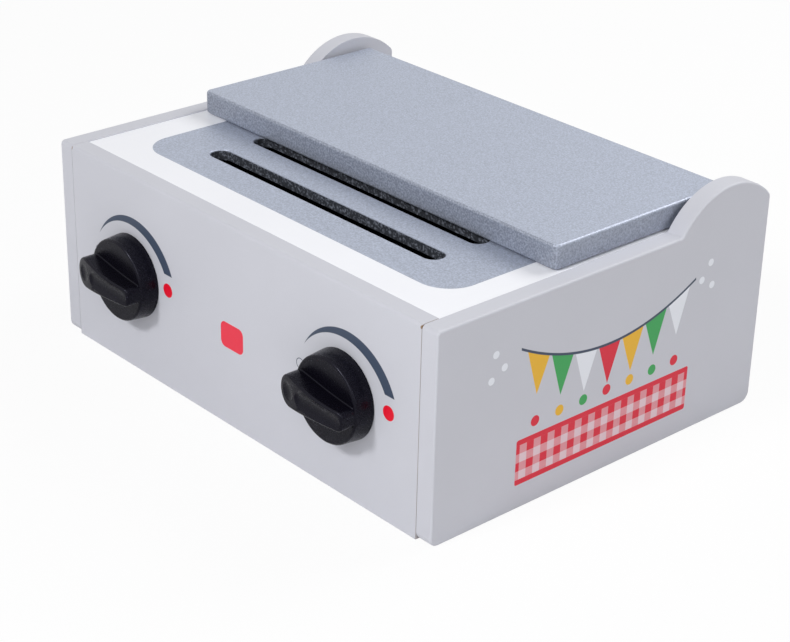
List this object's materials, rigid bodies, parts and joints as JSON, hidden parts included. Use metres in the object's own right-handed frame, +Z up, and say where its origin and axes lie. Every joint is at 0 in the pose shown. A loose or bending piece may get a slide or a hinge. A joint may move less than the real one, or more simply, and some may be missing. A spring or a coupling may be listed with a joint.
{
  "type": "toy oven",
  "caption": "Low white wooden toy oven with a slotted top board, a hinged silver lid between rounded humps, and black turning knobs on the front.",
  "frame": {"origin": "middle of the underside of the case, on the table", "axes": "+X to the right seen from the knobs, +Y to the back, +Z up"},
  "size_m": [0.255, 0.2127, 0.112],
  "materials": {
    "white_lacquer": "satin white lacquer on fibreboard, printed",
    "board_lacquer": "satin white lacquer with a silver painted field round the slots",
    "silver_lacquer": "satin silver lacquer with a fine metallic grain",
    "black_plastic": "satin moulded plastic",
    "bare_wood": "unpainted",
    "zinc_steel": "zinc plated"
  },
  "bodies": {
    "case": {"left_side_panel": "white_lacquer", "right_side_panel": "white_lacquer", "front_panel": "white_lacquer", "back_panel": "white_lacquer", "top_board": "board_lacquer", "base_board": "bare_wood", "front_top_batten": "bare_wood", "rear_top_batten": "bare_wood", "left_top_batten": "bare_wood", "right_top_batten": "bare_wood", "left_base_batten": "bare_wood", "right_base_batten": "bare_wood", "front_panel_dowels": "bare_wood", "back_panel_dowels": "bare_wood", "base_screws": "zinc_steel"},
    "lid_board": {"lid": "silver_lacquer", "left_pivot_pin": "zinc_steel", "right_pivot_pin": "zinc_steel"},
    "left_dial": {"left_knob": "black_plastic", "left_knob_screw": "zinc_steel", "left_knob_washer": "zinc_steel"},
    "right_dial": {"right_knob": "black_plastic", "right_knob_screw": "zinc_steel", "right_knob_washer": "zinc_steel"}
  },
  "joints": [
    {"name": "lid_hinge", "type": "hinge", "parent": "case", "child": "lid_board", "pos_m": [0, 0.0755, 0.1007], "axis": [-1, 0, 0], "range_deg": [0, 100]},
    {"name": "left_knob_turn", "type": "hinge", "parent": "case", "child": "left_dial", "pos_m": [-0.0728, -0.0975, 0.047], "axis": [0, 1, 0], "continuous": true},
    {"name": "right_knob_turn", "type": "hinge", "parent": "case", "child": "right_dial", "pos_m": [0.0728, -0.0975, 0.047], "axis": [0, 1, 0], "continuous": true}
  ]
}
